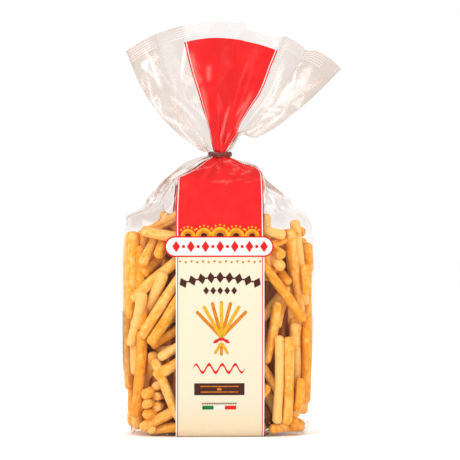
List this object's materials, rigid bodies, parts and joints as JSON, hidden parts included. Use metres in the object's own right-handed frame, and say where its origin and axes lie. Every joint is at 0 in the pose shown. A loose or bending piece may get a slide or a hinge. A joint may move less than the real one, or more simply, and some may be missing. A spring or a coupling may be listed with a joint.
{
  "type": "bag of breadsticks",
  "caption": "Clear gusseted bag full of short breadsticks, with a printed front band in red and cream, gathered at the neck with a twist tie and standing on its flat base",
  "frame": {"origin": "middle of the flat base that the bag stands on, with +Z up and the printed front facing -Y", "axes": "+Z is the bag's height, from its base to the top of the fan; +Y is its depth, front to back; +X is its width, to the right as the printed front is read"},
  "size_m": [0.1741, 0.087, 0.3291],
  "materials": {
    "breadsticks": "matte baked crust behind clear film",
    "film": "clear glossy crinkled film",
    "print": "opaque gloss print on film, red above and cream below",
    "tie": "satin brown ribbon over a wire"
  },
  "bodies": {
    "root": {"bag": "breadsticks", "tie": "tie"}
  },
  "joints": []
}
